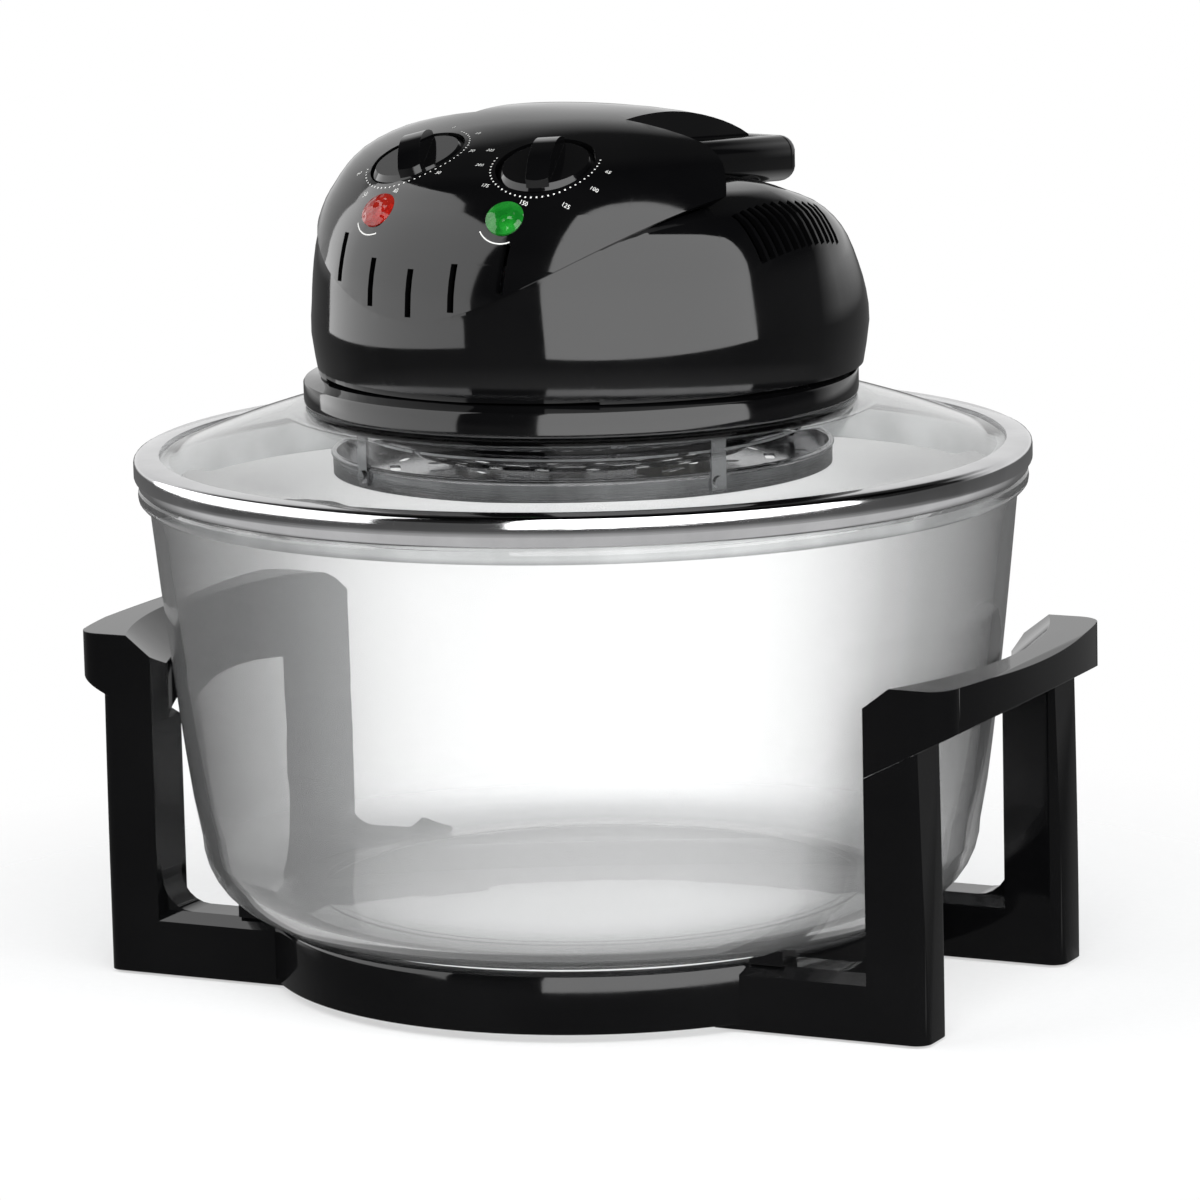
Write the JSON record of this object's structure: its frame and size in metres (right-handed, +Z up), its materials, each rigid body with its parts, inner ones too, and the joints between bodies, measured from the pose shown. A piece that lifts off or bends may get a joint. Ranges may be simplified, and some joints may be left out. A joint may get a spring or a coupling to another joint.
{
  "type": "halogen oven",
  "caption": "Countertop halogen oven: glass bowl in a stand with grips, glass lift-off lid with a fan and ring lamp head, two dials, indicator lights and a fold-down carry handle.",
  "frame": {"origin": "on the table, on the bowl's axis, level with the foot pads' soles", "axes": "+Z up, along the bowl's axis; -Y is the stand's front; +X runs out through the right-hand grip"},
  "size_m": [0.388, 0.35, 0.34],
  "materials": {
    "black_gloss": "high gloss",
    "black_matte": "matt",
    "clear_glass": "polished",
    "quartz": "polished",
    "steel_polished": "polished",
    "steel_brushed": "brushed",
    "screw_steel": "plated",
    "black_rubber": "matt",
    "clear_silicone": "satin",
    "tungsten": "dull",
    "ceramic_white": "matt",
    "bronze": "sintered",
    "motor_steel": "satin",
    "unit_grey": "matt",
    "lens_red": "clear gloss",
    "lens_green": "clear gloss"
  },
  "bodies": {
    "stand": {"base_ring": "black_gloss", "leg_front_left": "black_gloss", "leg_front_right": "black_gloss", "leg_rear_left": "black_gloss", "leg_rear_right": "black_gloss", "bowl_lugs": "black_gloss", "left_grip": "black_gloss", "right_grip": "black_gloss", "leg_screws": "screw_steel", "grip_screws": "screw_steel", "foot_pads": "black_rubber"},
    "bowl": {"glass_bowl": "clear_glass"},
    "lid": {"lid_glass": "clear_glass", "lid_rim": "steel_polished", "lid_seal": "clear_silicone", "collar": "black_gloss", "collar_seal": "black_rubber", "base_plate": "black_matte", "guard_frame": "steel_polished", "frame_screws": "screw_steel", "reflector": "steel_polished", "lamp_tube": "quartz", "lamp_filament": "tungsten", "lamp_holders": "ceramic_white", "guard_tray": "steel_brushed", "guard_rivets": "steel_polished", "heat_shield": "steel_brushed", "shield_standoffs": "screw_steel", "head_shell": "black_gloss", "control_hood": "black_gloss", "fan_motor": "motor_steel", "motor_bearings": "bronze", "motor_bracket": "steel_brushed", "bracket_screws": "screw_steel", "timer_unit": "unit_grey", "thermostat_unit": "unit_grey", "thermal_cutout": "motor_steel", "terminal_block": "ceramic_white", "power_lens": "lens_red", "heat_lens": "lens_green", "indicator_lamps": "ceramic_white", "micro_switch": "unit_grey", "handle_pins": "steel_brushed", "cord_gland": "black_matte", "shell_screws": "screw_steel"},
    "timer_knob": {"timer_knob": "black_gloss", "timer_shaft": "steel_brushed"},
    "thermostat_knob": {"thermostat_knob": "black_gloss", "thermostat_shaft": "steel_brushed"},
    "carry_handle": {"carry_handle": "black_gloss"},
    "fan": {"motor_shaft": "steel_brushed", "cooling_fan": "steel_brushed", "convection_fan": "steel_brushed", "fan_nut": "steel_brushed"},
    "interlock": {"interlock_plunger": "black_matte"}
  },
  "joints": [
    {"name": "bowl_lift", "type": "slide", "parent": "stand", "child": "bowl", "axis": [0, 0, 1], "range_m": [0, 0.12]},
    {"name": "lid_lift", "type": "slide", "parent": "bowl", "child": "lid", "axis": [0, 0, 1], "range_m": [0, 0.1]},
    {"name": "timer_turn", "type": "hinge", "parent": "lid", "child": "timer_knob", "pos_m": [-0.04063, -0.05478, 0.3258], "axis": [-0.1583, -0.336, 0.9285], "range_deg": [-300, 0]},
    {"name": "thermostat_turn", "type": "hinge", "parent": "lid", "child": "thermostat_knob", "pos_m": [0.01944, -0.06537, 0.3258], "axis": [0.0339, -0.3699, 0.9285], "range_deg": [-270, 0]},
    {"name": "handle_fold", "type": "hinge", "parent": "lid", "child": "carry_handle", "pos_m": [0.00382, 0.02167, 0.3175], "axis": [0.9848, -0.1736, 0], "range_deg": [0, 85]},
    {"name": "fan_spin", "type": "hinge", "parent": "lid", "child": "fan", "pos_m": [0, 0, 0.25], "axis": [0, 0, 1], "continuous": true},
    {"name": "interlock_travel", "type": "slide", "parent": "lid", "child": "interlock", "axis": [0, 0, 1], "range_m": [0, 0.003]}
  ],
  "couplings": [
    {"joint": "interlock_travel", "follows": "handle_fold", "m_per_rad": 0.002}
  ]
}
